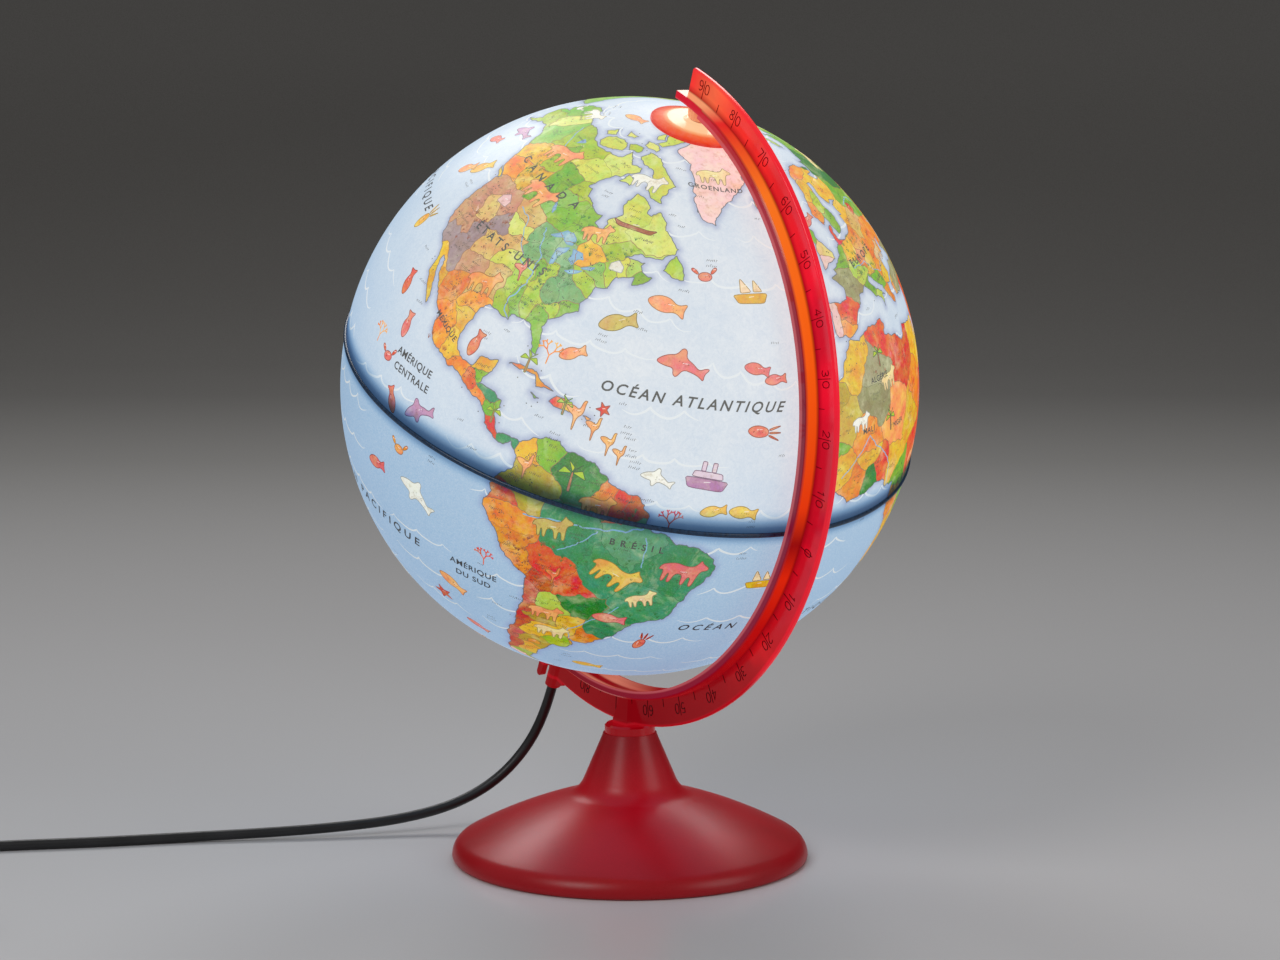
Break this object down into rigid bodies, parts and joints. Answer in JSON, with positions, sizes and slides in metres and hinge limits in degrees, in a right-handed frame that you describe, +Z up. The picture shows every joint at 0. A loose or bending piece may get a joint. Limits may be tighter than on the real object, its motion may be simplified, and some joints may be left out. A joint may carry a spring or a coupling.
{
  "type": "desktop_globe_on_stand",
  "caption": "Lit desktop globe, 250 mm, turning on a tilted axis in a clear red half-meridian arm with a degree scale, on a round frosted red base, with a mains lead, switch and plug.",
  "frame": {"origin": "centre of the base's underside on the table", "axes": "+Z up; +X under the north end of the tilted axis, so the arm lies in the XZ plane; +Y completes the right-handed frame"},
  "size_m": [0.3268, 0.506, 0.3465],
  "materials": {
    "frosted_red_plastic": "moulded frosted translucent red",
    "clear_red_plastic": "moulded clear red, polished",
    "map_north": "printed map, satin varnish",
    "map_south": "printed map, satin varnish",
    "seam_plastic": "dark navy joint ring",
    "cap_plastic": "moulded, pale orange",
    "black_plastic": "moulded black",
    "white_plastic": "moulded white",
    "black_pvc": "satin black lead sheath",
    "steel": "zinc plated",
    "brass": "bright",
    "nickel": "nickel plated",
    "lamp_glass": "opal inside frosting",
    "soft_pad": "foam rubber"
  },
  "bodies": {
    "stand": {"base_shell": "frosted_red_plastic", "base_weight": "steel", "base_cover": "black_plastic", "foot_pad": "soft_pad", "stem_screw": "steel", "stem_washer": "steel", "neck_collar": "clear_red_plastic", "meridian_arm": "clear_red_plastic", "north_pivot_pin": "steel", "lamp_seat": "clear_red_plastic", "nipple": "brass", "nipple_nut": "brass", "lampholder_cap": "black_plastic", "lampholder_body": "black_plastic", "lampholder_shell": "brass", "lampholder_contacts": "brass", "bulb_cap": "nickel", "bulb_contact": "nickel", "bulb_glass": "lamp_glass", "bulb_filament": "nickel", "inner_cable": "black_pvc", "lamp_leads": "white_plastic", "cord_grip": "white_plastic", "cord_lead": "black_pvc", "cord_link": "black_pvc", "cord_coil": "black_pvc", "cord_tail": "black_pvc", "switch_base": "black_plastic", "switch_cover": "black_plastic", "switch_pin": "steel", "switch_screws": "steel", "switch_terminals": "brass", "plug_body": "black_plastic", "plug_pins": "nickel"},
    "globe": {"north_hemisphere": "map_north", "south_hemisphere": "map_south", "equator_ring": "seam_plastic", "north_cap": "cap_plastic", "north_bush": "white_plastic", "south_bush": "cap_plastic"},
    "rocker": {"switch_rocker": "black_plastic"}
  },
  "joints": [
    {"name": "globe_spin", "type": "hinge", "parent": "stand", "child": "globe", "pos_m": [0, 0, 0.2085], "axis": [0.3987, 0, 0.9171], "continuous": true},
    {"name": "switch_rocker", "type": "hinge", "parent": "stand", "child": "rocker", "pos_m": [-0.13655, -0.31005, 0.0102], "axis": [0.5036, 0.864, 0], "range_deg": [-16, 0]}
  ]
}
